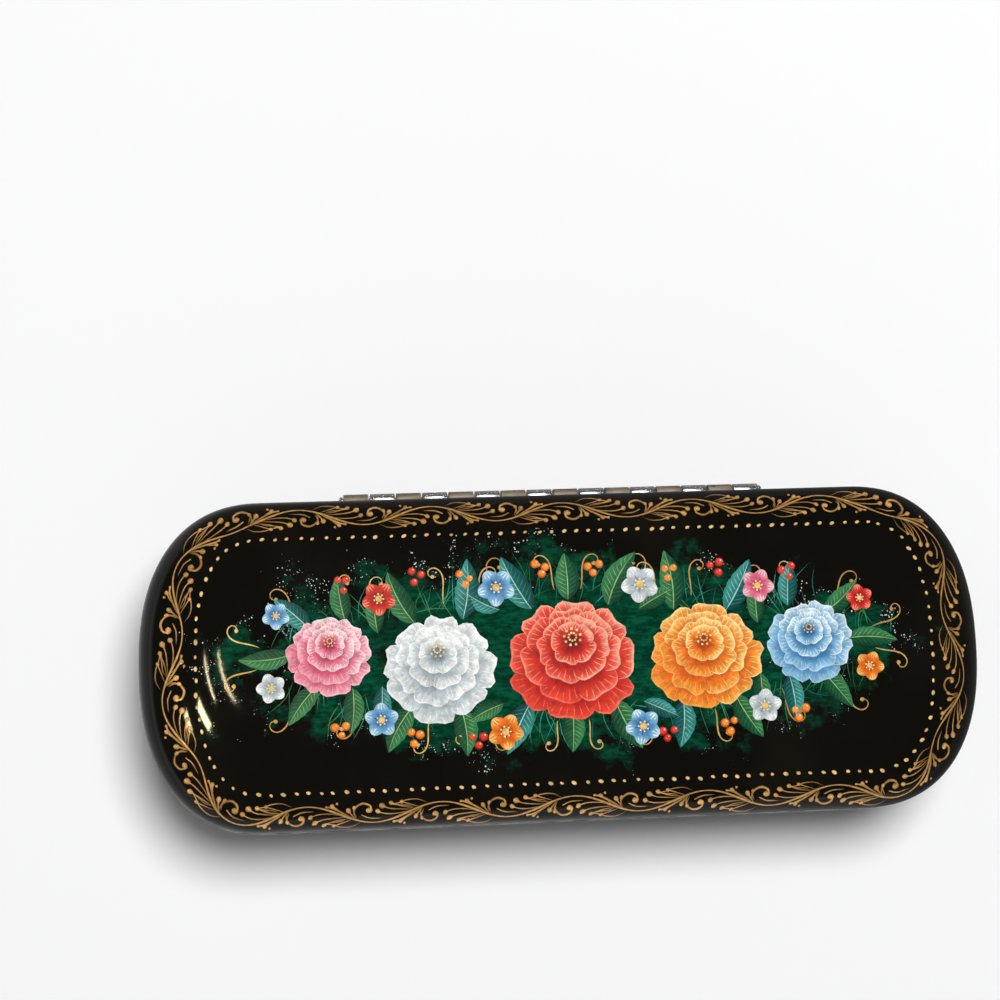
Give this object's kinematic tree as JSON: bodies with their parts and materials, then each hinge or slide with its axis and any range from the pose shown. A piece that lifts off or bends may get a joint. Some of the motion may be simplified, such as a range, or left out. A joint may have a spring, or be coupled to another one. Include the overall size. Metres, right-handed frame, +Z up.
{
  "type": "eyeglass case",
  "caption": "Hard clam-shell eyeglass case in black lacquer with a painted lid, a piano hinge with a snap spring along the back and flocked linings.",
  "frame": {"origin": "centre of the flat underside, on the surface that the closed case lies on", "axes": "+X along the case's length, +Y from the opening front to the hinge at the back, +Z up through the lid"},
  "size_m": [0.162, 0.0649, 0.036],
  "materials": {
    "lacquer": "polished black lacquer over pressed sheet steel",
    "flock": "pinkish white flock",
    "foam": "closed-cell foam sheet",
    "nickel": "nickel-plated steel",
    "spring_steel": "tempered spring steel"
  },
  "bodies": {
    "base": {"base_shell": "lacquer", "base_foam_pad": "foam", "base_lining": "flock", "base_hinge_leaf": "nickel", "hinge_pin": "nickel", "snap_spring": "spring_steel", "hinge_cover": "flock", "base_rivet_1": "nickel", "base_rivet_2": "nickel", "base_rivet_3": "nickel", "base_rivet_4": "nickel"},
    "lid": {"lid_shell": "lacquer", "lid_foam_pad": "foam", "lid_lining": "flock", "lid_hinge_leaf": "nickel", "lid_rivet_1": "nickel", "lid_rivet_2": "nickel", "lid_rivet_3": "nickel", "lid_rivet_4": "nickel"}
  },
  "joints": [
    {"name": "lid_hinge", "type": "hinge", "parent": "base", "child": "lid", "pos_m": [0, 0.03155, 0.019], "axis": [-1, 0, 0], "range_deg": [0, 95], "deforming": ["hinge_cover"]}
  ]
}
